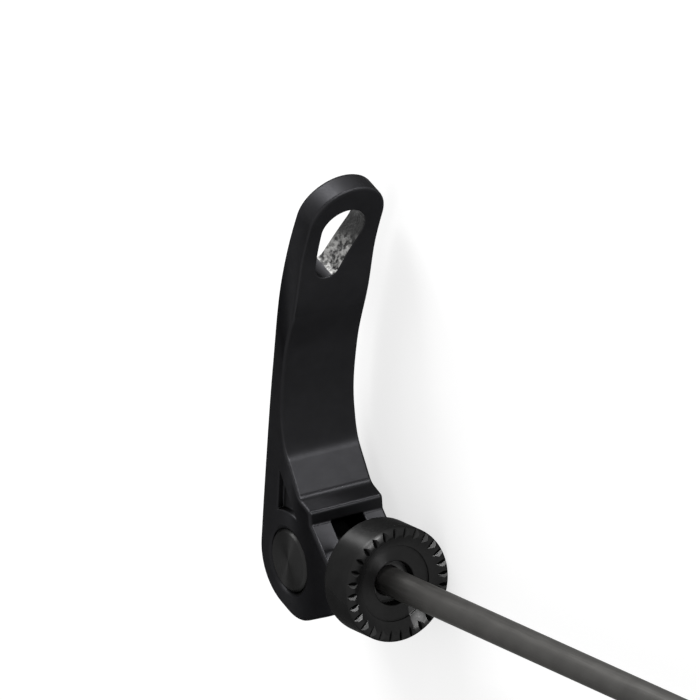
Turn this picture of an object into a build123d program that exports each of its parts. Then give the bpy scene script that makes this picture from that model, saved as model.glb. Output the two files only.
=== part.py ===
from build123d import *
import os
from math import cos, pi, radians, sin

# Quick release skewer, in millimetres.
# X runs along the rod from the lever to the nut, Y points up the closed lever, Z runs along the cross pin.
# The origin is on the rod's axis, in the clamp plane of the cap's notched rim.

# Rod
ROD_DIAMETER = 5.0
CLAMP_SPAN = 148.0
ROD_PAST_CLAMP = 14.0
ROD_TIP_CHAMFER = 0.6

# Cross pin
PIN_DIAMETER = 11.2
PIN_CHAMFER = 0.45
PIN_TO_CLAMP_PLANE = 24.4
ROD_END_INSET = 0.6

# Clearances
PIN_CLEARANCE = 0.05
THREAD_CLEARANCE = 0.05
GUIDE_CLEARANCE = 0.1
SLOT_CLEARANCE = 0.7
SPRING_CLEARANCE = 0.05

# Lever, measured from the cross pin's axis
LEVER_WIDTH = 14.9
LEVER_REACH = 71.4
BACK_RADIUS = 9.15
BELLY_RADIUS = 8.2
BELLY_FORWARD = 2.2
BELLY_DROP = 2.0
NOSE_RADIUS = 5.65
NOSE_FORWARD = 9.65
NOSE_DROP = 2.02
RIDGE_FORWARD = 8.4
RIDGE_FOOT = 8.4
RIDGE_TOP = 10.75
RIDGE_ROUND = 1.0
CREASE_FORWARD = 5.1
CREASE_HEIGHT = 12.4
CREASE_ROUND = 2.6
BACK_START_ANGLE = 168.0
BACK_EDGE = ((-5.96, 15.31), (-0.93, 35.85), (3.82, 51.89), (9.45, 63.21))
FRONT_EDGE = ((15.5, 64.3), (11.6, 57.0), (8.6, 48.9), (3.5, 37.4), (1.1, 25.0), (2.2, 18.2))
TIP_LEAN = 23.0
TIP_THICKNESS = 4.5
TIP_SET_BACK = 14.1
EDGE_CHAMFER = 0.5
BORE_CHAMFER = 0.5

# Slot between the ears
SLOT_RADIUS = 7.4
SLOT_BACK_TOP = 3.4
SLOT_RUN_OUT = 12.0

# Finger hole, along the lever from the pin and across it
HOLE_TOP_REACH = 62.0
HOLE_TOP_OFFSET = 0.25
HOLE_TOP_RADIUS = 4.2
HOLE_FOOT_REACH = 54.2
HOLE_FOOT_OFFSET = 1.8
HOLE_FOOT_RADIUS = 2.4

# Shallow pocket in each side of the lever
POCKET_DEPTH = 1.2
POCKET_ARC = 9.2
POCKET_PEAK = (-0.96, 16.2)
POCKET_FOOT_BACK = (-2.7, 7.5)
POCKET_FOOT_FRONT = (4.1, 7.5)

# Clamp cap
CAP_RADIUS = 10.2
CAP_DEPTH = 8.5
CAP_BACK_CHAMFER = 0.8
CAP_HOLE_RADIUS = 3.9
CAP_WEB = 2.2
RIM_CHAMFER = 0.5
RIM_CREST_RADIUS = 9.1
DISH_RADIUS = 6.7
DISH_COVE_DEPTH = 1.2
DISH_STEP = 0.4

# Notches across the clamping rims
NOTCH_COUNT = 28
NOTCH_DEPTH = 0.45
NOTCH_WIDTH = 1.05
NOTCH_START_RADIUS = 7.6

# Cam seat
SEAT_RADIUS = 8.2

# Adjusting nut
NUT_FLANGE_DEPTH = 4.0
NUT_LENGTH = 16.0
NUT_GRIP_RADIUS = 8.0
NUT_FLUTE_COUNT = 6
NUT_FLUTE_RADIUS = 3.0
NUT_FLUTE_DEPTH = 0.9

# Lock ring in the end of the nut
LOCK_RADIUS = 4.2
LOCK_LENGTH = 2.8
LOCK_INSET = 0.8

# Conical springs
SPRING_WIRE = 0.9
SPRING_WIRE_SIDES = 6
SPRING_WIDE_RADIUS = 6.2
SPRING_LENGTH = 10.5
SPRING_TURNS = 4
SPRING_BENDS = 10
LEVER_SPRING_PLACE = 113.0

# Values that follow from the sizes above
ROD_RADIUS = ROD_DIAMETER / 2
PIN_RADIUS = PIN_DIAMETER / 2
HALF_WIDTH = LEVER_WIDTH / 2
SLOT_WIDTH = ROD_DIAMETER + 2 * SLOT_CLEARANCE
PIN_AXIS = Pos(-PIN_TO_CLAMP_PLANE, 0, 0)
TIP_ALONG = Vector(sin(radians(TIP_LEAN)), cos(radians(TIP_LEAN)))
TIP_OUT = Vector(cos(radians(TIP_LEAN)), -sin(radians(TIP_LEAN)))
DISH_FLOOR = DISH_COVE_DEPTH + DISH_STEP
THROUGH = 2 * LEVER_REACH


def on_rod(x, turned=False):
    """Place whose Z axis lies along the rod, toward the nut or, turned, toward the lever."""
    return Plane(origin=(x, 0, 0), x_dir=(0, 1, 0), z_dir=(-1 if turned else 1, 0, 0)).location


def across(outline, width):
    """Solid of an outline in side view, as wide as asked along the pin, half of it on each side."""
    return extrude(Plane((0, 0, -width / 2)) * outline, width)


def cam_outline():
    """Side view of an ear: back, belly and nose rounds under one tight outline, up to the ridge's face."""
    rounds = (
        (BACK_RADIUS, 0, 0),
        (BELLY_RADIUS, BELLY_FORWARD, -BELLY_DROP),
        (NOSE_RADIUS, NOSE_FORWARD, -NOSE_DROP),
    )
    edges = [Edge.make_circle(radius, Plane((x, y, 0))) for radius, x, y in rounds]
    edges.append(Edge.make_line((RIDGE_FORWARD, RIDGE_FOOT), (RIDGE_FORWARD, RIDGE_TOP - RIDGE_ROUND)))
    return make_hull(edges)


def arm_outline():
    """Side view of the arm, from the back of the ears over the tip and down the front to the ridge."""
    start_angle = radians(BACK_START_ANGLE)
    start = (BACK_RADIUS * cos(start_angle), BACK_RADIUS * sin(start_angle))
    start_heading = (sin(start_angle), -cos(start_angle))
    end_reach = LEVER_REACH + TIP_THICKNESS
    tip_back = TIP_ALONG * end_reach - TIP_OUT * TIP_SET_BACK
    tip_front = tip_back + TIP_OUT * TIP_THICKNESS
    crease = (CREASE_FORWARD, CREASE_HEIGHT)
    ridge_corner = (RIDGE_FORWARD, RIDGE_TOP)
    with BuildSketch() as sketch:
        with BuildLine():
            Spline(start, *BACK_EDGE, tip_back, tangents=(start_heading, TIP_ALONG))
            Line(tip_back, tip_front)
            Spline(tip_front, *FRONT_EDGE, crease)
            Polyline(crease, ridge_corner, (RIDGE_FORWARD, RIDGE_FOOT), (0, 0), start)
        make_face()
        for corner, rounding in ((ridge_corner, RIDGE_ROUND), (crease, CREASE_ROUND)):
            fillet(sketch.vertices().sort_by_distance(corner)[0], rounding)
    return sketch.sketch


def slot_outline():
    """Side view of the space between the ears that the rod sweeps through as the lever swings."""
    front = RIDGE_FORWARD + SLOT_RUN_OUT
    back = -BACK_RADIUS - SLOT_RUN_OUT
    bottom = -BELLY_RADIUS - SLOT_RUN_OUT
    roof = ((0, SLOT_RADIUS), (RIDGE_FORWARD, RIDGE_FOOT), (front, RIDGE_FOOT), (front, 0), (0, 0))
    lower = ((back, SLOT_BACK_TOP), (0, SLOT_BACK_TOP), (front, 0), (front, bottom), (back, bottom))
    space = Circle(SLOT_RADIUS)
    for corners in (roof, lower):
        space += make_face(Polyline(*corners, close=True))
    return space


def pocket_outline():
    """Three-cornered pocket above the round boss of the pin."""
    corners = make_face(Polyline(POCKET_PEAK, POCKET_FOOT_BACK, POCKET_FOOT_FRONT, close=True))
    return corners - Circle(POCKET_ARC)


def tip_waste():
    """What the round tip leaves of the square-ended arm, drawn on the lever's front."""
    round_reach = LEVER_REACH - HALF_WIDTH
    square = Pos(round_reach + LEVER_WIDTH, 0) * Rectangle(2 * LEVER_WIDTH, 2 * LEVER_WIDTH)
    return square - Pos(round_reach, 0) * Circle(HALF_WIDTH)


def finger_hole():
    """Teardrop through the arm below the tip, drawn on the lever's front."""
    top = Edge.make_circle(HOLE_TOP_RADIUS, Plane((HOLE_TOP_REACH, HOLE_TOP_OFFSET, 0)))
    foot = Edge.make_circle(HOLE_FOOT_RADIUS, Plane((HOLE_FOOT_REACH, HOLE_FOOT_OFFSET, 0)))
    return make_hull([top, foot])


def make_lever():
    """Forked cam lever, cast in one piece."""
    front_plane = Plane(origin=(0, 0, 0), x_dir=TIP_ALONG, z_dir=TIP_OUT)
    lever = across(cam_outline() + arm_outline(), LEVER_WIDTH)
    lever -= extrude(front_plane * tip_waste(), THROUGH, both=True)
    side_edges = lever.edges().filter_by(lambda edge: abs(edge.center().Z) > HALF_WIDTH / 2)
    lever = chamfer(side_edges, EDGE_CHAMFER)
    lever -= extrude(front_plane * finger_hole(), THROUGH, both=True)
    lever -= across(slot_outline(), SLOT_WIDTH)
    lever -= Cylinder(PIN_RADIUS + PIN_CLEARANCE, THROUGH)
    for side in (1, -1):
        face_plane = Plane((0, 0, side * HALF_WIDTH))
        lever -= extrude(face_plane * pocket_outline(), POCKET_DEPTH * -side)
        bore_mouth = Cone(PIN_RADIUS, PIN_RADIUS + 2 * BORE_CHAMFER, 2 * BORE_CHAMFER)
        lever -= Pos(0, 0, side * HALF_WIDTH) * Rot(0 if side > 0 else 180, 0, 0) * bore_mouth
    return PIN_AXIS * lever


def make_pivot_pin():
    """Cross pin, flush with both ears, bored across for the rod."""
    pin = Cylinder(PIN_RADIUS, LEVER_WIDTH)
    pin = chamfer(pin.edges().filter_by(GeomType.CIRCLE), PIN_CHAMFER)
    pin -= Rot(0, 90, 0) * Cylinder(ROD_RADIUS, THROUGH)
    return PIN_AXIS * pin


def make_skewer_rod():
    """Rod from the back of the cross pin to the threaded end in the nut."""
    back = -PIN_TO_CLAMP_PLANE - PIN_RADIUS + ROD_END_INSET
    length = CLAMP_SPAN + ROD_PAST_CLAMP - back
    rod = Cylinder(ROD_RADIUS, length, align=(Align.CENTER, Align.CENTER, Align.MIN))
    tip_edge = rod.edges().filter_by(GeomType.CIRCLE).sort_by(Axis.Z)[-1]
    rod = chamfer(tip_edge, ROD_TIP_CHAMFER)
    return on_rod(back) * rod


def notches():
    """Ring of vee notches that cross a clamping rim at zero height, drawn along the Z axis."""
    half = NOTCH_WIDTH / 2
    vee = make_face(Polyline((-half, 0), (half, 0), (0, -NOTCH_DEPTH), close=True))
    length = CAP_RADIUS - NOTCH_START_RADIUS + NOTCH_WIDTH
    radial = Plane(origin=(NOTCH_START_RADIUS, 0, 0), x_dir=(0, 1, 0), z_dir=(1, 0, 0))
    return PolarLocations(0, NOTCH_COUNT) * extrude(radial * vee, length)


def make_clamp_cap():
    """Turned cap with a notched rim, a dished face and a pocket in its back for the cam seat."""
    seat_floor = -DISH_FLOOR - CAP_WEB
    outline = Polyline(
        (DISH_RADIUS, -DISH_FLOOR),
        (DISH_RADIUS, -DISH_COVE_DEPTH),
        (RIM_CREST_RADIUS, 0),
        (CAP_RADIUS - RIM_CHAMFER, 0),
        (CAP_RADIUS, -RIM_CHAMFER),
        (CAP_RADIUS, CAP_BACK_CHAMFER - CAP_DEPTH),
        (CAP_RADIUS - CAP_BACK_CHAMFER, -CAP_DEPTH),
        (SEAT_RADIUS, -CAP_DEPTH),
        (SEAT_RADIUS, seat_floor),
        (CAP_HOLE_RADIUS, seat_floor),
        (CAP_HOLE_RADIUS, -DISH_FLOOR),
        close=True,
    )
    cap = revolve(Plane.XZ * make_face(outline), Axis.Z)
    return on_rod(0) * (cap - notches())


def make_cam_seat():
    """Plastic seat in the back of the cap, bored to run on the rod."""
    thickness = CAP_DEPTH - DISH_FLOOR - CAP_WEB
    seat = Cylinder(SEAT_RADIUS, thickness, align=(Align.CENTER, Align.CENTER, Align.MIN))
    seat -= Cylinder(ROD_RADIUS + GUIDE_CLEARANCE, THROUGH)
    return on_rod(-CAP_DEPTH) * seat


def make_adjusting_nut():
    """Nut with a notched clamp face, a flange, a fluted grip and a pocket for the lock ring."""
    lock_floor = -NUT_LENGTH + LOCK_INSET + LOCK_LENGTH
    bore = ROD_RADIUS + THREAD_CLEARANCE
    outline = Polyline(
        (DISH_RADIUS, -DISH_FLOOR),
        (DISH_RADIUS, 0),
        (CAP_RADIUS, 0),
        (CAP_RADIUS, -NUT_FLANGE_DEPTH),
        (NUT_GRIP_RADIUS, -NUT_FLANGE_DEPTH),
        (NUT_GRIP_RADIUS, -NUT_LENGTH),
        (LOCK_RADIUS, -NUT_LENGTH),
        (LOCK_RADIUS, lock_floor),
        (bore, lock_floor),
        (bore, -DISH_FLOOR),
        close=True,
    )
    nut = revolve(Plane.XZ * make_face(outline), Axis.Z)
    flute = Cylinder(NUT_FLUTE_RADIUS, NUT_LENGTH, align=(Align.CENTER, Align.CENTER, Align.MAX))
    flute_place = NUT_GRIP_RADIUS + NUT_FLUTE_RADIUS - NUT_FLUTE_DEPTH
    nut -= Pos(0, 0, -NUT_FLANGE_DEPTH) * PolarLocations(flute_place, NUT_FLUTE_COUNT) * flute
    return on_rod(CLAMP_SPAN, turned=True) * (nut - notches())


def make_lock_ring():
    """Plastic ring pressed into the end of the nut."""
    ring = Cylinder(LOCK_RADIUS, LOCK_LENGTH) - Cylinder(ROD_RADIUS + THREAD_CLEARANCE, THROUGH)
    middle = CLAMP_SPAN + NUT_LENGTH - LOCK_INSET - LOCK_LENGTH / 2
    return on_rod(middle) * ring


def make_spring():
    """Conical spring with its wide end at zero height, narrowing along the Z axis to the rod."""
    narrow = ROD_RADIUS + SPRING_WIRE / 2 + SPRING_CLEARANCE
    rise = SPRING_LENGTH - SPRING_WIRE
    steps = SPRING_TURNS * SPRING_BENDS
    wide = SPRING_WIDE_RADIUS - SPRING_WIRE / 2

    def point(step):
        share = step / steps
        radius = wide + (narrow - wide) * share
        angle = 2 * pi * SPRING_TURNS * share
        return (radius * cos(angle), radius * sin(angle), SPRING_WIRE / 2 + rise * share)

    path = Polyline(*[point(step) for step in range(steps + 1)])
    wire = Plane(origin=path @ 0, z_dir=path % 0) * RegularPolygon(SPRING_WIRE / 2, SPRING_WIRE_SIDES)
    return sweep(wire, path, transition=Transition.RIGHT)


def main():
    """Writes one file for each piece of the skewer."""
    os.makedirs("parts", exist_ok=True)
    spring = make_spring()
    pieces = {
        "lever": make_lever(),
        "pivot_pin": make_pivot_pin(),
        "skewer_rod": make_skewer_rod(),
        "clamp_cap": make_clamp_cap(),
        "cam_seat": make_cam_seat(),
        "adjusting_nut": make_adjusting_nut(),
        "lock_ring": make_lock_ring(),
        "lever_spring": on_rod(LEVER_SPRING_PLACE) * spring,
        "nut_spring": on_rod(CLAMP_SPAN + DISH_FLOOR - SPRING_CLEARANCE, turned=True) * spring,
    }
    for name, solid in pieces.items():
        export_step(solid, f"parts/{name}.step")


main()
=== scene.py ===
"""Quick release skewer: the looks of its pieces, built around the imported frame."""
import logging
from collections.abc import Iterable, Sequence
from dataclasses import dataclass, field
from enum import Enum
from math import acos, asin, atan2, ceil, cos, hypot, pi, radians, sin, sqrt, tan

import bmesh
import bpy
from mathutils import Matrix, Vector


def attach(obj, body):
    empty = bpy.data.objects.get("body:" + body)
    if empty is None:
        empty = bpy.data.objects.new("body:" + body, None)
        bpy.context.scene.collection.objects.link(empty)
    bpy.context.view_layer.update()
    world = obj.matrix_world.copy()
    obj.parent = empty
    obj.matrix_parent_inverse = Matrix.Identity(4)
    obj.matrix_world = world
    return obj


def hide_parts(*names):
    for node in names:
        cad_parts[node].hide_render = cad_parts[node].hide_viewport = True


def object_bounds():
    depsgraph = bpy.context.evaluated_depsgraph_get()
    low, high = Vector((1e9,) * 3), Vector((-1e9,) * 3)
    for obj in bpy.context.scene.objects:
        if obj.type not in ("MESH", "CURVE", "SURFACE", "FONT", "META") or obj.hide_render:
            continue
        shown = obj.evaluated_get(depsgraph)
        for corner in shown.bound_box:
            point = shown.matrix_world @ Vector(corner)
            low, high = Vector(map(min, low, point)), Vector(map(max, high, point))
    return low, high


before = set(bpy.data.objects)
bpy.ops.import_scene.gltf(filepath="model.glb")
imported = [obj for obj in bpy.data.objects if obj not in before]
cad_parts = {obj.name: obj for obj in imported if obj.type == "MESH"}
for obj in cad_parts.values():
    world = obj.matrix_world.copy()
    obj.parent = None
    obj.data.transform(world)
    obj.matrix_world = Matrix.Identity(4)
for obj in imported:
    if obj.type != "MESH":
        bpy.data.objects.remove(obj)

CAD_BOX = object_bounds()
MM = 0.001
SAME_POINT = 0.01
ORDER = Vector((1.0, sqrt(2.0), sqrt(3.0)))
LATHE_JOIN = 1e-4
LATHE_SLIVER = 1e-5
PIN_PLACE = -24.4
LEVER_WIDTH = 14.9
ROD_RADIUS = 2.5
CLAMP_RADIUS = 10.2
CLAMP_DISH = 6.7
CLAMP_DISH_FLOOR = 1.6
LOG = logging.getLogger("skewer")
Point = tuple[float, float]
Colour = tuple[float, float, float]


class Body(Enum):
    """The moving bodies of the frame."""

    ROD = "rod"
    LEVER = "lever"
    CAP = "cap"
    NUT_CARRIAGE = "nut_carriage"
    NUT = "nut"


class Turn(Enum):
    """Which way a turned piece's own axis points along the rod."""

    TO_NUT = 1
    TO_LEVER = -1


class Marks(Enum):
    """The axis that the marks of linishing or turning run round."""

    ROUND_PIN = "Z"
    ROUND_ROD = "X"


@dataclass(frozen=True)
class Corner:
    """One corner of an outline, in millimetres, with the radius that rounds it."""

    x: float
    y: float
    radius: float = 0.0


def round_corners(corners: Sequence[Corner], closed: bool, steps: int = 4) -> list[Vector]:
    """Walks along corners and rounds those that ask for it.

    Args:
        corners: the corners in order.
        closed: whether the last corner joins the first.
        steps: the number of short lines in each round.

    Returns:
        The outline's points.
    """
    points: list[Vector] = []
    count = len(corners)
    for index, corner in enumerate(corners):
        here = Vector((corner.x, corner.y))
        at_end = not closed and index in (0, count - 1)
        if at_end or corner.radius <= 0:
            points.append(here)
            continue
        before = corners[index - 1]
        after = corners[(index + 1) % count]
        back = (Vector((before.x, before.y)) - here).normalized()
        ahead = (Vector((after.x, after.y)) - here).normalized()
        half = acos(max(-1.0, min(1.0, back.dot(ahead)))) / 2
        centre = here + (back + ahead).normalized() * (corner.radius / sin(half))
        first = here + back * (corner.radius / tan(half)) - centre
        last = here + ahead * (corner.radius / tan(half)) - centre
        sweep = first.angle_signed(last)
        for step in range(steps + 1):
            turned = Matrix.Rotation(-sweep * step / steps, 2) @ first
            points.append(centre + turned)
    return points


def arc(centre: Point, radius: float, start: float, end: float, step: float) -> list[Vector]:
    """Points on a round stretch of an outline.

    Args:
        centre: the round's middle.
        radius: its radius.
        start: the first point's angle in radians.
        end: the last point's angle in radians.
        step: the longest distance between points.

    Returns:
        The points, both ends included.
    """
    count = max(2, ceil(abs(end - start) * radius / step))
    angles = [start + (end - start) * index / count for index in range(count + 1)]
    return [Vector((centre[0] + radius * cos(a), centre[1] + radius * sin(a))) for a in angles]


def flowing(points: Sequence[Vector], step: float, first: Vector | None, last: Vector | None) -> list[Vector]:
    """A smooth curve through points.

    Args:
        points: the points that the curve passes.
        step: the longest distance between the points that come back.
        first: the heading at the first point, or None where it is free.
        last: the heading at the last point, or None where it is free.

    Returns:
        The curve's points, both ends included.
    """
    spans = [(b - a).length for a, b in zip(points, points[1:])]
    slopes = [(b - a) / span for a, b, span in zip(points, points[1:], spans)]
    inner = [
        (slopes[i] * spans[i + 1] + slopes[i + 1] * spans[i]) / (spans[i] + spans[i + 1])
        for i in range(len(spans) - 1)
    ]
    start = first.normalized() if first else (slopes[0] * 3 - inner[0]) / 2
    end = last.normalized() if last else (slopes[-1] * 3 - inner[-1]) / 2
    headings = [start, *inner, end]
    curve = [points[0].copy()]
    for index, span in enumerate(spans):
        count = max(1, ceil(span / step))
        for number in range(1, count + 1):
            t = number / count
            a, b = points[index], points[index + 1]
            rise = t * t * (3 - 2 * t)
            leave = t * (1 - t) ** 2 * span
            arrive = t * t * (t - 1) * span
            curve.append(a + (b - a) * rise + headings[index] * leave + headings[index + 1] * arrive)
    return curve


def hull_angle(a: Point, a_radius: float, b: Point, b_radius: float) -> float:
    """Where the line that hugs two circles on their right side leaves the first.

    Args:
        a: the first circle's middle.
        a_radius: its radius.
        b: the second circle's middle.
        b_radius: its radius.

    Returns:
        The angle of the touching points in radians.
    """
    heading = atan2(b[1] - a[1], b[0] - a[0])
    apart = hypot(b[0] - a[0], b[1] - a[1])
    return heading - acos((a_radius - b_radius) / apart)


def prism(
    points: Sequence[Vector], low: float, high: float, place: Matrix | None = None
) -> bmesh.types.BMesh:
    """A solid with one outline, drawn flat and raised along its own Z axis.

    Args:
        points: the outline.
        low: the height of its lower face.
        high: the height of its upper face.
        place: where it goes, or None to leave it.

    Returns:
        The solid in millimetres.
    """
    solid = bmesh.new()
    face = solid.faces.new([solid.verts.new((p.x, p.y, low)) for p in points])
    raised = bmesh.ops.extrude_face_region(solid, geom=[face])
    verts = [item for item in raised["geom"] if isinstance(item, bmesh.types.BMVert)]
    bmesh.ops.translate(solid, verts=verts, vec=(0, 0, high - low))
    if place is not None:
        bmesh.ops.transform(solid, matrix=place, verts=solid.verts)
    bmesh.ops.recalc_face_normals(solid, faces=solid.faces)
    return solid


def lathe(points: Sequence[Vector], steps: int) -> bmesh.types.BMesh:
    """A solid turned about its own Z axis from a half section.

    Args:
        points: the section, as distance from the axis and height. Its two ends join, or both lie on the axis.
        steps: the number of flats around.

    Returns:
        The solid in millimetres.
    """
    solid = bmesh.new()
    ring = [solid.verts.new((p.x, 0, p.y)) for p in points]
    pairs = zip(ring, ring[1:] + ring[:1])
    edges = [solid.edges.new((a, b)) for a, b in pairs if max(a.co.x, b.co.x) > 0]
    bmesh.ops.spin(
        solid, geom=ring + edges, axis=(0, 0, 1), cent=(0, 0, 0), angle=2 * pi, steps=steps, use_merge=True
    )
    bmesh.ops.remove_doubles(solid, verts=solid.verts, dist=LATHE_JOIN)
    bmesh.ops.dissolve_degenerate(solid, edges=solid.edges, dist=LATHE_SLIVER)
    bmesh.ops.recalc_face_normals(solid, faces=solid.faces)
    return solid


def along_rod(x: float, turn: Turn = Turn.TO_NUT) -> Matrix:
    """The place of a turned piece on the rod.

    Args:
        x: the distance from the clamp plane of the cap.
        turn: which way the piece's axis points.

    Returns:
        The matrix that puts it there, in millimetres.
    """
    axis = Vector((turn.value, 0, 0))
    up = Vector((0, 1, 0))
    side = axis.cross(up)
    place = Matrix((up, side, axis)).transposed().to_4x4()
    place.translation = Vector((x, 0, 0))
    return place


def sort_by_place(solid: bmesh.types.BMesh) -> None:
    """Puts points, edges and faces in an order that is the same each run."""
    solid.verts.sort(key=lambda vert: vert.co.dot(ORDER))
    solid.edges.sort(key=lambda edge: (edge.verts[0].co + edge.verts[1].co).dot(ORDER))
    solid.faces.sort(key=lambda face: face.calc_center_median().dot(ORDER))


def baked(thing: bpy.types.Object) -> bmesh.types.BMesh:
    """The shape of an object with its modifiers or curve worked out, cleaned of slivers.

    Args:
        thing: the object, which is removed.

    Returns:
        The shape.
    """
    graph = bpy.context.evaluated_depsgraph_get()
    mesh = bpy.data.meshes.new_from_object(thing.evaluated_get(graph))
    shape = bmesh.new()
    shape.from_mesh(mesh)
    bpy.data.meshes.remove(mesh)
    bpy.data.objects.remove(thing)
    sort_by_place(shape)
    bmesh.ops.remove_doubles(shape, verts=shape.verts, dist=SAME_POINT)
    bmesh.ops.dissolve_degenerate(shape, edges=shape.edges, dist=SAME_POINT)
    bmesh.ops.triangulate(shape, faces=[face for face in shape.faces if len(face.verts) > 4])
    bmesh.ops.recalc_face_normals(shape, faces=shape.faces)
    return shape


def cut(solid: bpy.types.Object, tools: Iterable[bpy.types.Object]) -> bmesh.types.BMesh:
    """Takes the shapes of tools away from a solid and removes the tools.

    Args:
        solid: the solid's object.
        tools: the objects that cut it.

    Returns:
        What is left.
    """
    tools = list(tools)
    for tool in tools:
        modifier = solid.modifiers.new(tool.name, "BOOLEAN")
        modifier.operation = "DIFFERENCE"
        modifier.solver = "EXACT"
        modifier.material_mode = "TRANSFER"
        modifier.object = tool
    left = baked(solid)
    for tool in tools:
        bpy.data.objects.remove(tool)
    return left


def loose_object(
    name: str, solid: bmesh.types.BMesh, finishes: Sequence[bpy.types.Material]
) -> bpy.types.Object:
    """An object in the scene that holds a mesh as it is.

    Args:
        name: the object's name.
        solid: the mesh, which is freed.
        finishes: the materials in order.

    Returns:
        The object.
    """
    mesh = bpy.data.meshes.new(name)
    solid.to_mesh(mesh)
    solid.free()
    for finish in finishes:
        mesh.materials.append(finish)
    thing = bpy.data.objects.new(name, mesh)
    bpy.context.scene.collection.objects.link(thing)
    return thing


@dataclass(frozen=True)
class Dress:
    """What a finished piece is called, moves with and stands for."""

    name: str
    body: Body
    node: str
    slot: str
    sharp_angle: float = 40.0

    def finish(self, solid: bmesh.types.BMesh, finishes: Sequence[bpy.types.Material]) -> bpy.types.Object:
        """Turns a mesh in millimetres into the piece.

        Args:
            solid: the mesh, which is freed.
            finishes: its materials in order.

        Returns:
            The piece, riding on its body.
        """
        bmesh.ops.scale(solid, vec=(MM, MM, MM), verts=solid.verts)
        for face in solid.faces:
            face.smooth = True
        piece = loose_object(self.name, solid, finishes)
        piece.data.set_sharp_from_angle(angle=radians(self.sharp_angle))
        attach(piece, self.body.value)
        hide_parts(self.node)
        LOG.info("%s: %d faces on %s", self.name, len(piece.data.polygons), self.body.value)
        return piece


class NodeBench:
    """Sets up the nodes of one material."""

    def __init__(self, name: str) -> None:
        """Starts a material with its shader and the piece's own coordinates."""
        self.material = bpy.data.materials.new(name)
        self.material.use_nodes = True
        self.tree = self.material.node_tree
        self.shader = self.tree.nodes["Principled BSDF"]
        self.place = self.tree.nodes.new("ShaderNodeTexCoord").outputs["Object"]

    def add(self, kind: str, **inputs: object) -> bpy.types.Node:
        """A node of a kind, with values or links for its inputs.

        Args:
            kind: the node's type.
            inputs: input names, with spaces as underscores, and what goes in.

        Returns:
            The node.
        """
        node = self.tree.nodes.new(kind)
        for name, value in inputs.items():
            self.feed(node.inputs[name.replace("_", " ")], value)
        return node

    def feed(self, socket: bpy.types.NodeSocket, value: object) -> None:
        """Puts a value or another node's output into an input."""
        if isinstance(value, bpy.types.NodeSocket):
            self.tree.links.new(value, socket)
        else:
            socket.default_value = value

    def stretched(self, scale: tuple[float, float, float]) -> bpy.types.NodeSocket:
        """The piece's coordinates, scaled along each axis."""
        node = self.add("ShaderNodeMapping", Vector=self.place, Scale=scale)
        return node.outputs["Vector"]

    def noise(
        self, scale: float, detail: float, vector: bpy.types.NodeSocket | None = None
    ) -> bpy.types.NodeSocket:
        """Cloudy values between nought and one.

        Args:
            scale: how many clouds there are in a metre.
            detail: how many finer clouds lie on them.
            vector: the coordinates, or None for the piece's own.

        Returns:
            The value.
        """
        node = self.add("ShaderNodeTexNoise", Vector=vector or self.place, Scale=scale, Detail=detail)
        return node.outputs["Fac"]

    def spread(
        self, value: bpy.types.NodeSocket, low: float, high: float, span: tuple[float, float] = (0.3, 0.7)
    ) -> bpy.types.NodeSocket:
        """Moves a cloudy value to lie between two numbers.

        Args:
            value: the cloudy value.
            low: the number for the bottom of the span.
            high: the number for its top.
            span: the part of the cloudy value that counts.

        Returns:
            The moved value.
        """
        node = self.add("ShaderNodeMapRange", Value=value)
        node.inputs["From Min"].default_value = span[0]
        node.inputs["From Max"].default_value = span[1]
        node.inputs["To Min"].default_value = low
        node.inputs["To Max"].default_value = high
        return node.outputs["Result"]

    def blend(self, value: bpy.types.NodeSocket, low: Colour, high: Colour) -> bpy.types.NodeSocket:
        """A colour between two, by a value."""
        node = self.tree.nodes.new("ShaderNodeMix")
        node.data_type = "RGBA"
        self.feed(node.inputs["Factor"], value)
        node.inputs["A"].default_value = (*low, 1)
        node.inputs["B"].default_value = (*high, 1)
        return node.outputs["Result"]

    def bump(self, height: bpy.types.NodeSocket, strength: float, distance: float) -> None:
        """Lifts the surface by a height, in metres, in the shader's normal."""
        node = self.add("ShaderNodeBump", Height=height, Strength=strength, Distance=distance)
        self.feed(self.shader.inputs["Normal"], node.outputs["Normal"])
        self.feed(self.shader.inputs["Coat Normal"], node.outputs["Normal"])


@dataclass(frozen=True)
class WorkedFinish:
    """Dark metal with the fine marks of its working round one axis, across which highlights spread."""

    name: str
    dark: Colour
    pale: Colour
    marks: Marks
    smooth: float = 0.36
    dull: float = 0.44
    across: float = 0.88
    quarter_turn: float = 0.25
    metallic: float = 0.95
    edge: float = 0.3
    wave: float = 420.0
    wave_detail: float = 3.0
    grain: float = 2600.0
    grain_detail: float = 2.0
    bump: float = 0.3
    wave_height: float = 0.00005

    def build(self) -> bpy.types.Material:
        """Makes the material."""
        bench = NodeBench(self.name)
        wave = bench.noise(self.wave, self.wave_detail)
        grain = bench.noise(self.grain, self.grain_detail)
        bench.feed(bench.shader.inputs["Base Color"], bench.blend(wave, self.dark, self.pale))
        bench.feed(bench.shader.inputs["Roughness"], bench.spread(grain, self.smooth, self.dull))
        bench.shader.inputs["Metallic"].default_value = self.metallic
        bench.shader.inputs["Specular Tint"].default_value = (self.edge, self.edge, self.edge, 1)
        bench.shader.inputs["Anisotropic"].default_value = self.across
        bench.shader.inputs["Anisotropic Rotation"].default_value = self.quarter_turn
        heading = bench.add("ShaderNodeTangent")
        heading.direction_type = "RADIAL"
        heading.axis = self.marks.value
        bench.feed(bench.shader.inputs["Tangent"], heading.outputs["Tangent"])
        bench.bump(wave, self.bump, self.wave_height)
        return bench.material


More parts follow.
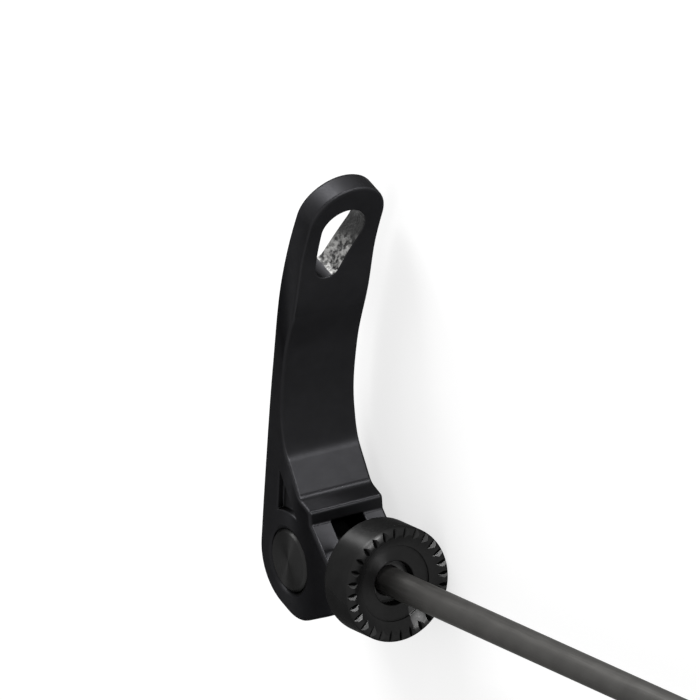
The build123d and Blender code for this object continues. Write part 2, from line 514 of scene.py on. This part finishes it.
@dataclass(frozen=True)
class CastFinish:
    """Raw cast alloy, grey and pitted, as left inside the finger hole."""

    name: str = "raw_cast"
    dark: Colour = (0.02, 0.02, 0.02)
    pale: Colour = (0.28, 0.278, 0.272)
    pits: float = 1150.0
    pit_detail: float = 5.0
    contrast: tuple[float, float] = (0.41, 0.58)
    smooth: float = 0.35
    dull: float = 0.65
    metallic: float = 0.6
    bump: float = 0.8
    height: float = 0.00035
    fade_start: float = 0.0568
    fade_end: float = 0.0597

    def build(self) -> bpy.types.Material:
        """Makes the material."""
        bench = NodeBench(self.name)
        pits = bench.noise(self.pits, self.pit_detail)
        # Between fade_start and fade_end up the piece's Y axis the pitted grey fades to the dark colour, so
        # the wall is near black towards the top of the finger hole.
        height = bench.add("ShaderNodeSeparateXYZ", Vector=bench.place).outputs["Y"]
        fade = bench.add("ShaderNodeMapRange", Value=height)
        fade.inputs["From Min"].default_value = self.fade_start
        fade.inputs["From Max"].default_value = self.fade_end
        bench.feed(fade.inputs["To Min"], bench.spread(pits, 0.0, 1.0, self.contrast))
        fade.inputs["To Max"].default_value = 0.0
        colour = bench.blend(fade.outputs["Result"], self.dark, self.pale)
        bench.feed(bench.shader.inputs["Base Color"], colour)
        bench.feed(bench.shader.inputs["Roughness"], bench.spread(pits, self.smooth, self.dull))
        bench.shader.inputs["Metallic"].default_value = self.metallic
        bench.bump(pits, self.bump, self.height)
        return bench.material


@dataclass(frozen=True)
class SteelFinish:
    """Dark steel with fine marks from grinding or turning."""

    name: str
    dark: Colour
    pale: Colour
    smooth: float
    dull: float
    stretch: tuple[float, float, float]
    metallic: float = 0.85
    edge: float = 1.0
    clouds: float = 260.0
    detail: float = 3.0
    bump: float = 0.3
    height: float = 0.00001

    def build(self) -> bpy.types.Material:
        """Makes the material."""
        bench = NodeBench(self.name)
        marks = bench.noise(1.0, self.detail, bench.stretched(self.stretch))
        clouds = bench.noise(self.clouds, self.detail)
        bench.feed(bench.shader.inputs["Base Color"], bench.blend(clouds, self.dark, self.pale))
        bench.feed(bench.shader.inputs["Roughness"], bench.spread(marks, self.smooth, self.dull))
        bench.shader.inputs["Metallic"].default_value = self.metallic
        bench.shader.inputs["Specular Tint"].default_value = (self.edge, self.edge, self.edge, 1)
        bench.bump(marks, self.bump, self.height)
        return bench.material


@dataclass(frozen=True)
class PlasticFinish:
    """Moulded plastic with a fine matte grain."""

    name: str
    dark: Colour
    pale: Colour
    grain: float = 3200.0
    clouds: float = 180.0
    detail: float = 2.0
    smooth: float = 0.42
    dull: float = 0.6
    bump: float = 0.25
    height: float = 0.00002

    def build(self) -> bpy.types.Material:
        """Makes the material."""
        bench = NodeBench(self.name)
        grain = bench.noise(self.grain, self.detail)
        clouds = bench.noise(self.clouds, self.detail)
        bench.feed(bench.shader.inputs["Base Color"], bench.blend(clouds, self.dark, self.pale))
        bench.feed(bench.shader.inputs["Roughness"], bench.spread(grain, self.smooth, self.dull))
        bench.bump(grain, self.bump, self.height)
        return bench.material


@dataclass
class Lever:
    """Forked cam lever, in millimetres from the cross pin's axis."""

    pin_place: float = PIN_PLACE
    width: float = LEVER_WIDTH
    reach: float = 71.25
    back: tuple[Point, float] = ((0.0, 0.0), 9.15)
    belly: tuple[Point, float] = ((2.2, -2.0), 8.2)
    nose: tuple[Point, float] = ((9.65, -2.02), 5.65)
    ridge_foot: Point = (8.4, 8.4)
    ridge_top: Point = (8.4, 10.75)
    ridge_round: float = 1.0
    crease: Point = (5.1, 12.4)
    crease_round: float = 2.6
    back_start: float = radians(168.0)
    back_edge: tuple[Point, ...] = ((-5.96, 15.31), (-0.93, 35.85), (3.82, 51.89), (9.45, 63.21))
    front_edge: tuple[Point, ...] = (
        (15.5, 64.3), (11.6, 57.0), (8.6, 48.9), (3.5, 37.4), (1.1, 25.0), (2.2, 18.2),
    )
    tip_lean: float = radians(23.0)
    tip_thickness: float = 4.5
    tip_set_back: float = 14.1
    pin_bore: float = 5.65
    bore_chamfer: float = 0.5
    slot_width: float = 6.4
    slot_radius: float = 7.4
    slot_back_top: float = 3.4
    hole_top: tuple[Point, float] = ((62.0, 0.25), 4.2)
    hole_foot: tuple[Point, float] = ((54.2, 1.8), 2.4)
    pocket_depth: float = 1.2
    pocket_arc: float = 9.2
    pocket_peak: Point = (-0.96, 16.2)
    pocket_feet: tuple[Point, Point] = ((-2.7, 7.5), (4.1, 7.5))
    edge_round: float = 0.6
    edge_angle: float = radians(50.0)
    cut_round: float = 0.3
    cut_angle: float = radians(28.0)
    round_segments: int = 4
    ridge_steps: int = 8
    bore_flats: int = 96
    merge: float = 0.02
    flat_angle: float = radians(0.2)
    cast_facing: float = 0.5
    step: float = 1.1
    past: float = 12.0

    @property
    def along(self) -> Vector:
        """The heading of the leaning tip."""
        return Vector((sin(self.tip_lean), cos(self.tip_lean)))

    @property
    def outward(self) -> Vector:
        """The way that the tip's front faces."""
        return Vector((cos(self.tip_lean), -sin(self.tip_lean)))

    def front_place(self) -> Matrix:
        """The plane of the lever's front: up the tip, along the pin, then outward."""
        place = Matrix((self.along.to_3d(), Vector((0, 0, 1)), self.outward.to_3d()))
        return place.transposed().to_4x4()

    def outline(self) -> list[Vector]:
        """The side view, from the back of the ears round the cam, up the front and over the tip."""
        (back, back_r), (belly, belly_r), (nose, nose_r) = self.back, self.belly, self.nose
        first = hull_angle(back, back_r, belly, belly_r) + 2 * pi
        second = hull_angle(belly, belly_r, nose, nose_r) + 2 * pi
        third = hull_angle(nose, nose_r, self.ridge_foot, 0.0) + 2 * pi
        points = arc(back, back_r, self.back_start, first, self.step)
        points += arc(belly, belly_r, first, second, self.step)
        points += arc(nose, nose_r, second, third, self.step)
        ridge = (
            Corner(*self.ridge_foot),
            Corner(*self.ridge_top, self.ridge_round),
            Corner(*self.crease, self.crease_round),
            Corner(*self.front_edge[-1]),
        )
        points += round_corners(ridge, closed=False, steps=self.ridge_steps)
        tip_back = self.along * (self.reach + self.tip_thickness) - self.outward * self.tip_set_back
        tip_front = tip_back + self.outward * self.tip_thickness
        front = [Vector(p) for p in reversed(self.front_edge)]
        crease_heading = front[0] - Vector(self.crease)
        points += flowing(front, self.step, crease_heading, tip_front - front[-1])[1:]
        start_heading = Vector((-sin(self.back_start), cos(self.back_start)))
        rear = [*(Vector(p) for p in reversed(self.back_edge)), points[0]]
        points += [tip_front, tip_back, *flowing(rear, self.step, rear[0] - tip_back, start_heading)[:-1]]
        return points

    def tip_waste(self) -> bmesh.types.BMesh:
        """What the round tip leaves of the square end."""
        half = self.width / 2
        middle = self.reach - half
        points = arc((middle, 0.0), half, pi / 2, -pi / 2, self.step / 2)
        side = half + self.past
        end = self.reach + self.past
        points += [Vector(p) for p in ((middle, -side), (end, -side), (end, side), (middle, side))]
        return prism(points, -self.reach, self.reach, self.front_place())

    def finger_hole(self) -> bmesh.types.BMesh:
        """The teardrop through the arm."""
        (top, top_r), (foot, foot_r) = self.hole_top, self.hole_foot
        down = hull_angle(top, top_r, foot, foot_r)
        up = hull_angle(foot, foot_r, top, top_r) + 2 * pi
        points = arc(foot, foot_r, down, up, self.step / 2)
        points += arc(top, top_r, up, down + 2 * pi, self.step / 2)
        return prism(points, -self.reach, self.reach, self.front_place())

    def slot(self) -> bmesh.types.BMesh:
        """The space between the ears."""
        low = asin(self.slot_back_top / self.slot_radius)
        far = self.nose[0][0] + self.nose[1] + self.past
        points = arc((0.0, 0.0), self.slot_radius, pi - low, pi / 2, self.step)
        foot_x, foot_y = self.ridge_foot
        ends = ((foot_x, foot_y), (far, foot_y), (far, -far), (-far, -far), (-far, self.slot_back_top))
        points += [Vector(p) for p in ends]
        return prism(points, -self.slot_width / 2, self.slot_width / 2)

    def bore(self) -> bmesh.types.BMesh:
        """The pin's hole, opened at both mouths."""
        half = self.width / 2
        wide = self.pin_bore + self.bore_chamfer + self.past
        edge = half - self.bore_chamfer
        section = ((0, -half - self.past), (wide, -half - self.past), (self.pin_bore, -edge))
        mirrored = [(x, -y) for x, y in reversed(section)]
        return lathe([Vector(p) for p in (*section, *mirrored)], self.bore_flats)

    def pocket(self, side: int) -> bmesh.types.BMesh:
        """The three-cornered hollow above the pin's boss, on one side."""
        peak = Vector(self.pocket_peak)
        ends: list[Vector] = []
        for foot in self.pocket_feet:
            run = Vector(foot) - peak
            a, b, c = run.dot(run), 2 * peak.dot(run), peak.dot(peak) - self.pocket_arc**2
            ends.append(peak + run * ((-b - sqrt(b * b - 4 * a * c)) / (2 * a)))
        start, end = (atan2(p.y, p.x) for p in reversed(ends))
        points = [peak, *reversed(arc((0.0, 0.0), self.pocket_arc, start, end, self.step / 2))]
        half = self.width / 2
        low, high = sorted((side * (half - self.pocket_depth), side * (half + self.past)))
        return prism(points, low, high)

    def round_edges(self, solid: bmesh.types.BMesh, angle: float, radius: float) -> None:
        """Rounds every edge that is sharper than an angle in radians."""
        edges = [edge for edge in solid.edges if edge.is_manifold and edge.calc_face_angle() > angle]
        bmesh.ops.bevel(
            solid, geom=edges, offset=radius, offset_type="OFFSET", affect="EDGES",
            segments=self.round_segments, profile=0.5, material=-1, loop_slide=True,
        )

    def build(self, coat: bpy.types.Material, cast: bpy.types.Material) -> bpy.types.Object:
        """Models the lever and puts it on its pin.

        Args:
            coat: the finish all over.
            cast: the finish inside the finger hole.

        Returns:
            The lever.
        """
        half = self.width / 2
        blank = loose_object("blank", prism(self.outline(), -half, half), [coat])
        rounded = cut(blank, [loose_object("tip_waste", self.tip_waste(), [coat])])
        bmesh.ops.remove_doubles(rounded, verts=rounded.verts, dist=self.merge)
        bmesh.ops.dissolve_limit(
            rounded, angle_limit=self.flat_angle, verts=rounded.verts, edges=rounded.edges
        )
        self.round_edges(rounded, self.edge_angle, self.edge_round)
        blank = loose_object("blank", rounded, [coat])
        tools = [
            loose_object("finger_hole", self.finger_hole(), [cast]),
            loose_object("slot", self.slot(), [coat]),
            loose_object("bore", self.bore(), [coat]),
            loose_object("pocket_near", self.pocket(1), [coat]),
            loose_object("pocket_far", self.pocket(-1), [coat]),
        ]
        solid = cut(blank, tools)
        bmesh.ops.remove_doubles(solid, verts=solid.verts, dist=self.merge)
        bmesh.ops.dissolve_limit(
            solid, angle_limit=self.flat_angle, verts=solid.verts, edges=solid.edges, delimit={"MATERIAL"}
        )
        self.round_edges(solid, self.cut_angle, self.cut_round)
        for face in solid.faces:
            if face.normal.z < self.cast_facing:
                face.material_index = 0
        bmesh.ops.translate(solid, verts=solid.verts, vec=(self.pin_place, 0, 0))
        lever = Dress("lever_cast", Body.LEVER, "lever", "lever_black").finish(solid, [coat, cast])
        lever.modifiers.new("even_shading", "WEIGHTED_NORMAL").keep_sharp = True
        return lever


@dataclass
class NotchedRim:
    """The ring of vee notches that both clamp faces share."""

    count: int = 28
    depth: float = 0.6
    width: float = 1.2
    flats_each: int = 8
    lift: float = 0.1
    past: float = 1.0

    @property
    def flats(self) -> int:
        """Flats around a turned piece that give each notch the same number."""
        return self.count * self.flats_each

    def cutter(self, inner: float, outer: float) -> bmesh.types.BMesh:
        """The vees that cut the notches of a rim at zero height.

        Args:
            inner: the distance from the axis where the vees start.
            outer: the distance from the axis where they end.

        Returns:
            The vees in millimetres, about the piece's own axis.
        """
        half = self.width / 2 * (1 + self.lift / self.depth)
        points = [Vector(p) for p in ((-half, self.lift), (0.0, -self.depth), (half, self.lift))]
        outward = Matrix(((0, 0, 1), (1, 0, 0), (0, 1, 0))).to_4x4()
        vees = prism(points, inner, outer, outward)
        geom = [*vees.verts, *vees.edges, *vees.faces]
        share = 2 * pi / self.count
        bmesh.ops.spin(
            vees, geom=geom, axis=(0, 0, 1), cent=(0, 0, 0), angle=2 * pi - share,
            steps=self.count - 1, use_duplicate=True,
        )
        bmesh.ops.recalc_face_normals(vees, faces=vees.faces)
        return vees

    def notch(self, solid: bmesh.types.BMesh, inner: float, outer: float) -> bmesh.types.BMesh:
        """Cuts the notches into a turned piece.

        Args:
            solid: the piece, in millimetres about its own axis, which is freed.
            inner: the distance from the axis where the notches start.
            outer: the piece's largest radius.

        Returns:
            The notched piece.
        """
        blank = loose_object("rim_blank", solid, [])
        vees = loose_object("vees", self.cutter(inner, outer + self.past), [])
        return cut(blank, [vees])


@dataclass
class ClampCap:
    """Turned cap with a notched rim, a dished face and a pocket for the cam seat."""

    radius: float = CLAMP_RADIUS
    depth: float = 8.5
    back_round: float = 1.0
    hole: float = 3.9
    web: float = 2.2
    rim_round: float = 1.0
    crest_round: float = 0.7
    crest: float = 8.9
    dish: float = CLAMP_DISH
    cove_depth: float = 1.2
    dish_floor: float = CLAMP_DISH_FLOOR
    seat: float = 8.2
    hole_back_round: float = 0.15
    hole_round: float = 0.25
    dish_round: float = 0.12
    cove_round: float = 0.15
    seat_mouth_round: float = 0.2
    seat_floor_round: float = 0.1
    round_steps: int = 10
    sharp_angle: float = 28.0
    cove_rings: int = 10
    cove_bend: float = 1.5
    rim: NotchedRim = field(default_factory=NotchedRim)

    def section(self) -> list[Vector]:
        """The half section, as distance from the axis and height."""
        seat_floor = -self.dish_floor - self.web
        shares = [ring / self.cove_rings for ring in range(1, self.cove_rings - 1)]
        reach = self.crest - self.dish
        cove = [Corner(self.dish + reach * t, self.cove_depth * (t**self.cove_bend - 1)) for t in shares]
        return round_corners(
            (
                Corner(self.hole, seat_floor, self.hole_back_round),
                Corner(self.hole, -self.dish_floor, self.hole_round),
                Corner(self.dish, -self.dish_floor, self.dish_round),
                Corner(self.dish, -self.cove_depth, self.cove_round),
                *cove,
                Corner(self.crest, 0.0, self.crest_round),
                Corner(self.radius, 0.0, self.rim_round),
                Corner(self.radius, -self.depth, self.back_round),
                Corner(self.seat, -self.depth, self.seat_mouth_round),
                Corner(self.seat, seat_floor, self.seat_floor_round),
            ),
            closed=True,
            steps=self.round_steps,
        )

    def build(self, finish: bpy.types.Material) -> bpy.types.Object:
        """Turns the cap and cuts its notches."""
        solid = self.rim.notch(lathe(self.section(), self.rim.flats), self.dish, self.radius)
        bmesh.ops.transform(solid, matrix=along_rod(0.0), verts=solid.verts)
        bmesh.ops.recalc_face_normals(solid, faces=solid.faces)
        dress = Dress("clamp_cap_turned", Body.CAP, "clamp_cap", "cap_steel", self.sharp_angle)
        return dress.finish(solid, [finish])


@dataclass
class PivotPin:
    """Cross pin, flush with both ears and bored for the rod."""

    place: float = PIN_PLACE
    radius: float = 5.6
    length: float = LEVER_WIDTH
    chamfer: float = 0.45
    chamfer_round: float = 0.12
    rod: float = ROD_RADIUS
    flats: int = 128
    rod_flats: int = 64
    sharp_angle: float = 20.0

    def build(self, finish: bpy.types.Material) -> bpy.types.Object:
        """Turns the pin and bores it."""
        half = self.length / 2
        upper = [
            Corner(self.radius, half - self.chamfer, self.chamfer_round),
            Corner(self.radius - self.chamfer, half, self.chamfer_round),
            Corner(0.0, half),
        ]
        lower = [Corner(corner.x, -corner.y, corner.radius) for corner in reversed(upper)]
        turned = lathe(round_corners([*lower, *upper], closed=False), self.flats)
        pin = loose_object("pin", turned, [finish])
        edge = 2 * self.radius
        section = ((0, -edge), (self.rod, -edge), (self.rod, edge), (0, edge))
        hole = lathe([Vector(p) for p in section], self.rod_flats)
        bmesh.ops.transform(hole, matrix=along_rod(0.0), verts=hole.verts)
        solid = cut(pin, [loose_object("rod_hole", hole, [finish])])
        bmesh.ops.translate(solid, verts=solid.verts, vec=(self.place, 0, 0))
        dress = Dress("pivot_pin_turned", Body.ROD, "pivot_pin", "pin_steel", self.sharp_angle)
        return dress.finish(solid, [finish])


@dataclass
class SkewerRod:
    """Long rod with a rolled thread on its far end."""

    start: float = -29.4
    end: float = 162.0
    radius: float = ROD_RADIUS
    start_round: float = 0.3
    tip_chamfer: float = 0.6
    thread_start: float = 126.0
    pitch: float = 0.8
    thread_depth: float = 0.42
    rings_each: int = 8
    run_in: float = 1.6
    steps: int = 64

    def roll_thread(self, solid: bmesh.types.BMesh) -> None:
        """Presses the thread into the rings past its start."""
        for vert in solid.verts:
            radius = hypot(vert.co.x, vert.co.y)
            past = vert.co.z - self.thread_start
            if past <= 0 or radius < self.radius - self.tip_chamfer / 2:
                continue
            phase = (past / self.pitch - atan2(vert.co.y, vert.co.x) / (2 * pi)) % 1.0
            groove = 1 - abs(2 * phase - 1)
            share = 1 - self.thread_depth * groove * min(1.0, past / self.run_in) / self.radius
            vert.co.x *= share
            vert.co.y *= share

    def build(self, finish: bpy.types.Material) -> bpy.types.Object:
        """Turns the rod and rolls its thread."""
        length = self.end - self.tip_chamfer - self.thread_start
        count = round(length / self.pitch * self.rings_each)
        rings = [Corner(self.radius, self.thread_start + length * ring / count) for ring in range(count + 1)]
        section = [
            Corner(0.0, self.start),
            Corner(self.radius, self.start, self.start_round),
            *rings,
            Corner(self.radius - self.tip_chamfer, self.end),
            Corner(0.0, self.end),
        ]
        solid = lathe(round_corners(section, closed=False), self.steps)
        self.roll_thread(solid)
        bmesh.ops.transform(solid, matrix=along_rod(0.0), verts=solid.verts)
        return Dress("skewer_rod_drawn", Body.ROD, "skewer_rod", "rod_steel").finish(solid, [finish])


@dataclass
class PlainRing:
    """Turned ring on the rod with softly rounded edges."""

    dress: Dress
    start: float
    end: float
    inner: float
    outer: float
    edge_round: float = 0.2
    flats: int = 128

    def build(self, finish: bpy.types.Material) -> bpy.types.Object:
        """Turns the ring."""
        corners = [
            Corner(self.inner, self.start, self.edge_round),
            Corner(self.inner, self.end, self.edge_round),
            Corner(self.outer, self.end, self.edge_round),
            Corner(self.outer, self.start, self.edge_round),
        ]
        solid = lathe(round_corners(corners, closed=True), self.flats)
        bmesh.ops.transform(solid, matrix=along_rod(0.0), verts=solid.verts)
        return self.dress.finish(solid, [finish])


@dataclass
class AdjustingNut:
    """Nut with a notched clamp face, a flange and a fluted grip."""

    place: float = 148.0
    radius: float = CLAMP_RADIUS
    dish: float = CLAMP_DISH
    dish_floor: float = CLAMP_DISH_FLOOR
    flange_depth: float = 4.0
    length: float = 16.0
    grip: float = 8.0
    flute_count: int = 6
    flute_radius: float = 3.0
    flute_depth: float = 0.9
    flute_softness: float = 0.35
    lock_radius: float = 4.2
    lock_floor: float = 12.4
    bore: float = 2.55
    notch_start: float = 7.6
    notch_lead: float = 0.2
    bore_round: float = 0.2
    dish_round: float = 0.25
    rim_round: float = 0.45
    flange_round: float = 0.5
    grip_foot_round: float = 0.4
    grip_end_round: float = 0.7
    lock_mouth_round: float = 0.3
    flute_wall: float = 1.0
    flute_reach: float = 0.41
    round_steps: int = 6
    sharp_angle: float = 28.0
    rim: NotchedRim = field(default_factory=NotchedRim)

    def section(self) -> list[Vector]:
        """The half section, as distance from the axis and height."""
        return round_corners(
            (
                Corner(self.bore, -self.dish_floor, self.bore_round),
                Corner(self.dish, -self.dish_floor, self.dish_round),
                Corner(self.dish, 0.0, self.dish_round),
                Corner(self.notch_start, 0.0),
                Corner(self.notch_start + self.notch_lead, 0.0),
                Corner(self.radius, 0.0, self.rim_round),
                Corner(self.radius, -self.flange_depth, self.flange_round),
                Corner(self.grip, -self.flange_depth, self.grip_foot_round),
                Corner(self.grip, -self.length, self.grip_end_round),
                Corner(self.lock_radius, -self.length, self.lock_mouth_round),
                Corner(self.lock_radius, -self.lock_floor),
                Corner(self.bore, -self.lock_floor),
            ),
            closed=True,
            steps=self.round_steps,
        )

    def flute(self, solid: bmesh.types.BMesh) -> None:
        """Presses the flutes into the grip."""
        middle = self.grip + self.flute_radius - self.flute_depth
        pitch = 2 * pi / self.flute_count
        for vert in solid.verts:
            radius = hypot(vert.co.x, vert.co.y)
            before = vert.co.z > -self.flange_depth + LATHE_JOIN
            inside = radius < self.lock_radius + self.flute_wall
            if before or inside or radius > self.grip + self.flute_reach:
                continue
            angle = (atan2(vert.co.y, vert.co.x) + pitch / 2) % pitch - pitch / 2
            under = self.flute_radius**2 - (middle * sin(angle)) ** 2
            if under <= 0:
                continue
            wall = middle * cos(angle) - sqrt(under)
            near = max(self.flute_softness - abs(wall - self.grip), 0.0)
            wall = min(wall, self.grip) - near * near / (4 * self.flute_softness)
            share = (radius - self.grip + wall) / radius
            vert.co.x *= share
            vert.co.y *= share

    def build(self, finish: bpy.types.Material) -> bpy.types.Object:
        """Turns the nut, presses its flutes and cuts its notches."""
        blank = lathe(self.section(), self.rim.flats)
        self.flute(blank)
        solid = self.rim.notch(blank, self.notch_start, self.radius)
        bmesh.ops.transform(solid, matrix=along_rod(self.place, Turn.TO_LEVER), verts=solid.verts)
        bmesh.ops.recalc_face_normals(solid, faces=solid.faces)
        dress = Dress("adjusting_nut_turned", Body.NUT, "adjusting_nut", "nut_alloy", self.sharp_angle)
        return dress.finish(solid, [finish])


@dataclass
class ConicalSpring:
    """Wire wound on a cone, wide end first."""

    dress: Dress
    place: float
    turn: Turn
    wire: float = 0.9
    wide: float = 5.75
    narrow: float = 3.0
    length: float = 10.5
    turns: int = 4
    bends: int = 40
    wire_detail: int = 4

    def build(self, finish: bpy.types.Material) -> bpy.types.Object:
        """Winds the wire."""
        data = bpy.data.curves.new("wire", "CURVE")
        data.dimensions = "3D"
        data.bevel_depth = self.wire / 2
        data.bevel_resolution = self.wire_detail
        data.use_fill_caps = True
        path = data.splines.new("POLY")
        steps = self.turns * self.bends
        path.points.add(steps)
        for step, point in enumerate(path.points):
            share = step / steps
            radius = self.wide + (self.narrow - self.wide) * share
            angle = 2 * pi * self.turns * share
            height = self.wire / 2 + (self.length - self.wire) * share
            point.co = (radius * cos(angle), radius * sin(angle), height, 1)
        wound = bpy.data.objects.new("wire", data)
        bpy.context.scene.collection.objects.link(wound)
        solid = baked(wound)
        bmesh.ops.transform(solid, matrix=along_rod(self.place, self.turn), verts=solid.verts)
        bmesh.ops.recalc_face_normals(solid, faces=solid.faces)
        return self.dress.finish(solid, [finish])


@dataclass
class Camera:
    """The camera, set by what it aims at and how it is turned."""

    aim: tuple[float, float, float] = (-0.0135, 0.0388, -0.00124)
    azimuth: float = radians(20.146)
    elevation: float = radians(29.014)
    roll: float = radians(103.82)
    distance: float = 2.5
    lens: float = 752.5
    nearest: float = 0.05
    farthest: float = 20.0

    def build(self) -> bpy.types.Object:
        """Puts the camera into the scene."""
        flat = cos(self.elevation)
        back = Vector((cos(self.azimuth) * flat, sin(self.azimuth) * flat, sin(self.elevation)))
        data = bpy.data.cameras.new("camera")
        data.lens = self.lens
        data.clip_start = self.nearest
        data.clip_end = self.farthest
        camera = bpy.data.objects.new("camera", data)
        bpy.context.scene.collection.objects.link(camera)
        turned = (-back).to_track_quat("-Z", "Y").to_matrix() @ Matrix.Rotation(-self.roll, 3, "Z")
        camera.matrix_world = Matrix.Translation(Vector(self.aim) + back * self.distance) @ turned.to_4x4()
        bpy.context.scene.camera = camera
        return camera


@dataclass(frozen=True)
class Lamp:
    """One soft panel of light."""

    name: str
    azimuth: float
    elevation: float
    distance: float
    width: float
    height: float
    power: float

    def build(self, aim: Vector) -> None:
        """Hangs the panel and turns it to the object."""
        data = bpy.data.lights.new(self.name, "AREA")
        data.shape = "RECTANGLE"
        data.size = self.width
        data.size_y = self.height
        data.energy = self.power
        flat = cos(radians(self.elevation))
        heading = radians(self.azimuth)
        away = Vector((cos(heading) * flat, sin(heading) * flat, sin(radians(self.elevation))))
        lamp = bpy.data.objects.new(self.name, data)
        lamp.location = aim + away * self.distance
        lamp.rotation_euler = (-away).to_track_quat("-Z", "Y").to_euler()
        lamp.visible_camera = False
        bpy.context.scene.collection.objects.link(lamp)


@dataclass
class Studio:
    """Pale floor, white surroundings and soft panels."""

    lamps: tuple[Lamp, ...] = (
        Lamp(
            "low_strip_left", azimuth=59.0, elevation=-0.7, distance=0.35, width=0.05, height=0.01, power=1.2
        ),
        Lamp(
            "low_strip_right", azimuth=25.0, elevation=-0.35, distance=0.7, width=0.12, height=0.01, power=3.4
        ),
        Lamp(
            "side_panel", azimuth=108.0, elevation=17.0, distance=0.8, width=0.46, height=0.2, power=7.0
        ),
    )
    aim: tuple[float, float, float] = (-0.01, 0.03, 0.0)
    floor_size: float = 12.0
    floor_gap: float = 0.00002
    floor_dark: Colour = (0.43, 0.43, 0.43)
    floor_pale: Colour = (0.46, 0.46, 0.46)
    floor_glow: float = 0.66
    floor_clouds: float = 9.0
    floor_detail: float = 2.0
    floor_roughness: float = 0.9
    world_strength: float = 0.6

    def floor(self) -> None:
        """Lays the floor under the lowest point of the object."""
        sheet = bmesh.new()
        bmesh.ops.create_grid(sheet, x_segments=1, y_segments=1, size=self.floor_size / 2)
        bmesh.ops.translate(sheet, verts=sheet.verts, vec=(0, 0, CAD_BOX[0].z - self.floor_gap))
        bench = NodeBench("floor_paper")
        clouds = bench.noise(self.floor_clouds, self.floor_detail)
        colour = bench.blend(clouds, self.floor_dark, self.floor_pale)
        bench.feed(bench.shader.inputs["Base Color"], colour)
        bench.shader.inputs["Roughness"].default_value = self.floor_roughness
        bench.shader.inputs["Specular IOR Level"].default_value = 0.0
        bench.shader.inputs["Emission Color"].default_value = (1, 1, 1, 1)
        level = self.seen_level(bench.tree, 0.0, self.floor_glow)
        bench.feed(bench.shader.inputs["Emission Strength"], level)
        loose_object("floor", sheet, [bench.material])

    def seen_level(self, tree: bpy.types.NodeTree, lit: float, seen_at: float) -> bpy.types.NodeSocket:
        """A strength with one value as a light and another where it is seen or mirrored.

        Args:
            tree: the nodes that it joins.
            lit: the value for light that falls on things.
            seen_at: the value for what the camera, metal and glass show.

        Returns:
            The strength.
        """
        path = tree.nodes.new("ShaderNodeLightPath")
        seen = path.outputs["Is Camera Ray"]
        for name in ("Is Glossy Ray", "Is Transmission Ray"):
            either = tree.nodes.new("ShaderNodeMath")
            either.operation = "MAXIMUM"
            tree.links.new(seen, either.inputs[0])
            tree.links.new(path.outputs[name], either.inputs[1])
            seen = either.outputs["Value"]
        level = tree.nodes.new("ShaderNodeMapRange")
        level.inputs["To Min"].default_value = lit
        level.inputs["To Max"].default_value = seen_at
        tree.links.new(seen, level.inputs["Value"])
        return level.outputs["Result"]

    def surroundings(self) -> None:
        """White where they are seen or mirrored, and plainer as a light."""
        world = bpy.data.worlds.new("surroundings")
        world.use_nodes = True
        bpy.context.scene.world = world
        sky = world.node_tree.nodes["Background"]
        sky.inputs["Color"].default_value = (1, 1, 1, 1)
        level = self.seen_level(world.node_tree, self.world_strength, 1.0)
        world.node_tree.links.new(level, sky.inputs["Strength"])

    def build(self) -> None:
        """Sets the whole studio up."""
        self.floor()
        self.surroundings()
        for lamp in self.lamps:
            lamp.build(Vector(self.aim))
        bpy.context.scene.view_settings.view_transform = "Standard"


def main() -> None:
    """Builds the pieces, the studio and the camera."""
    logging.basicConfig(level=logging.INFO, format="%(name)s: %(message)s")
    Camera().build()
    Studio().build()
    coat = WorkedFinish(
        "black_coat", dark=(0.016, 0.016, 0.0172), pale=(0.022, 0.022, 0.0236), marks=Marks.ROUND_PIN
    ).build()
    cast = CastFinish().build()
    rod_steel = SteelFinish(
        "satin_steel", dark=(0.06, 0.0588, 0.0565), pale=(0.09, 0.0882, 0.0847), smooth=0.36, dull=0.5,
        stretch=(120.0, 6000.0, 6000.0), edge=0.3,
    ).build()
    cap_steel = WorkedFinish(
        "black_steel", dark=(0.018, 0.018, 0.018), pale=(0.026, 0.026, 0.026), marks=Marks.ROUND_ROD
    ).build()
    nut_alloy = WorkedFinish(
        "satin_alloy", dark=(0.034, 0.034, 0.0357), pale=(0.045, 0.045, 0.0473), marks=Marks.ROUND_ROD
    ).build()
    pin_steel = WorkedFinish(
        "dull_steel", dark=(0.027, 0.027, 0.027), pale=(0.037, 0.037, 0.037), marks=Marks.ROUND_PIN
    ).build()
    spring_steel = SteelFinish(
        "spring_wire", dark=(0.4, 0.4, 0.39), pale=(0.55, 0.55, 0.54), smooth=0.2, dull=0.32,
        stretch=(500.0, 500.0, 500.0),
    ).build()
    black_plastic = PlasticFinish(
        "black_plastic", dark=(0.012, 0.012, 0.012), pale=(0.02, 0.02, 0.02)
    ).build()
    pale_plastic = PlasticFinish("pale_plastic", dark=(0.55, 0.55, 0.53), pale=(0.63, 0.63, 0.61)).build()
    Lever().build(coat, cast)
    PivotPin().build(pin_steel)
    SkewerRod().build(rod_steel)
    ClampCap().build(cap_steel)
    cam_seat = Dress("cam_seat_moulded", Body.CAP, "cam_seat", "seat_plastic")
    PlainRing(cam_seat, start=-8.5, end=-3.8, inner=2.6, outer=8.2).build(black_plastic)
    AdjustingNut().build(nut_alloy)
    lock_ring = Dress("lock_ring_moulded", Body.NUT, "lock_ring", "lock_plastic")
    PlainRing(lock_ring, start=160.4, end=163.2, inner=2.55, outer=4.2).build(pale_plastic)
    lever_spring = Dress("lever_spring_wound", Body.ROD, "lever_spring", "spring_steel")
    ConicalSpring(lever_spring, place=113.0, turn=Turn.TO_NUT).build(spring_steel)
    nut_spring = Dress("nut_spring_wound", Body.NUT_CARRIAGE, "nut_spring", "spring_steel")
    ConicalSpring(nut_spring, place=149.55, turn=Turn.TO_LEVER).build(spring_steel)


if __name__ == "__main__":
    main()
